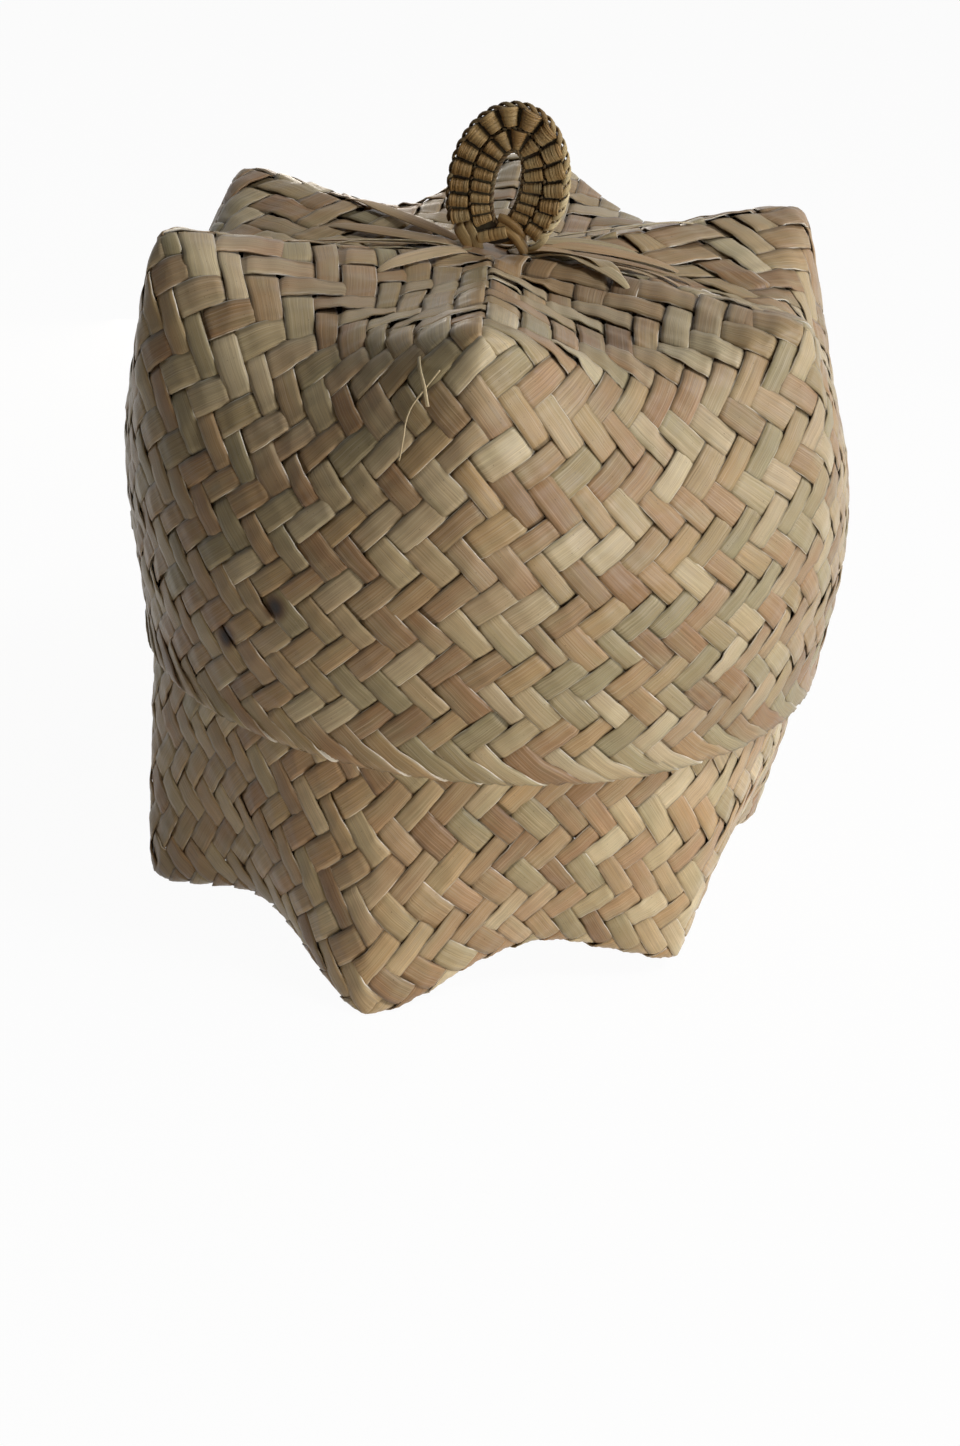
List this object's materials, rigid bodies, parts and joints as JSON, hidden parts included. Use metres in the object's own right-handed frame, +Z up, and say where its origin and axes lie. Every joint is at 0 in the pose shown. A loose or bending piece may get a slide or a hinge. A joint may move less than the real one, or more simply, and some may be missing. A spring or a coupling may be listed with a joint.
{
  "type": "plaited lidded box",
  "caption": "Round plaited-leaf box with a star-cornered base, a deep lift-off lid with a star top, and an upright loop knob of rolled leaf; holds small keepsakes.",
  "frame": {"origin": "on the box's axis at floor level, under the star's centre", "axes": "+Z up along the axis; the knob's loop faces -Y and one foot of the base points to -Y; +X is to the right seen from the front"},
  "size_m": [0.1906, 0.1914, 0.2119],
  "materials": {
    "plaited_leaf": "dry matt leaf with a faint satin sheen",
    "rolled_leaf": "satin rolled leaf, darker golden brown",
    "leaf_lace": "matt twisted leaf"
  },
  "bodies": {
    "base": {"base_shell": "plaited_leaf"},
    "lid": {"lid_shell": "plaited_leaf", "outer_roll_01": "rolled_leaf", "outer_roll_02": "rolled_leaf", "outer_roll_03": "rolled_leaf", "outer_roll_04": "rolled_leaf", "outer_roll_05": "rolled_leaf", "outer_roll_06": "rolled_leaf", "outer_roll_07": "rolled_leaf", "outer_roll_08": "rolled_leaf", "outer_roll_09": "rolled_leaf", "outer_roll_10": "rolled_leaf", "outer_roll_11": "rolled_leaf", "outer_roll_12": "rolled_leaf", "outer_roll_13": "rolled_leaf", "outer_roll_14": "rolled_leaf", "outer_roll_15": "rolled_leaf", "outer_roll_16": "rolled_leaf", "inner_roll_01": "rolled_leaf", "inner_roll_02": "rolled_leaf", "inner_roll_03": "rolled_leaf", "inner_roll_04": "rolled_leaf", "inner_roll_05": "rolled_leaf", "inner_roll_06": "rolled_leaf", "inner_roll_07": "rolled_leaf", "inner_roll_08": "rolled_leaf", "inner_roll_09": "rolled_leaf", "inner_roll_10": "rolled_leaf", "inner_roll_11": "rolled_leaf", "inner_roll_12": "rolled_leaf", "inner_roll_13": "rolled_leaf", "inner_roll_14": "rolled_leaf", "inner_roll_15": "rolled_leaf", "inner_roll_16": "rolled_leaf", "knob_eye_lace": "leaf_lace", "knob_middle_lace": "leaf_lace", "knob_edge_lace": "leaf_lace", "knob_tail_left": "rolled_leaf", "knob_tail_right": "rolled_leaf", "knob_cross_wrap": "rolled_leaf", "knob_tie": "leaf_lace"}
  },
  "joints": [
    {"name": "lid_lift", "type": "slide", "parent": "base", "child": "lid", "axis": [0, 0, 1], "range_m": [0, 0.085]}
  ]
}
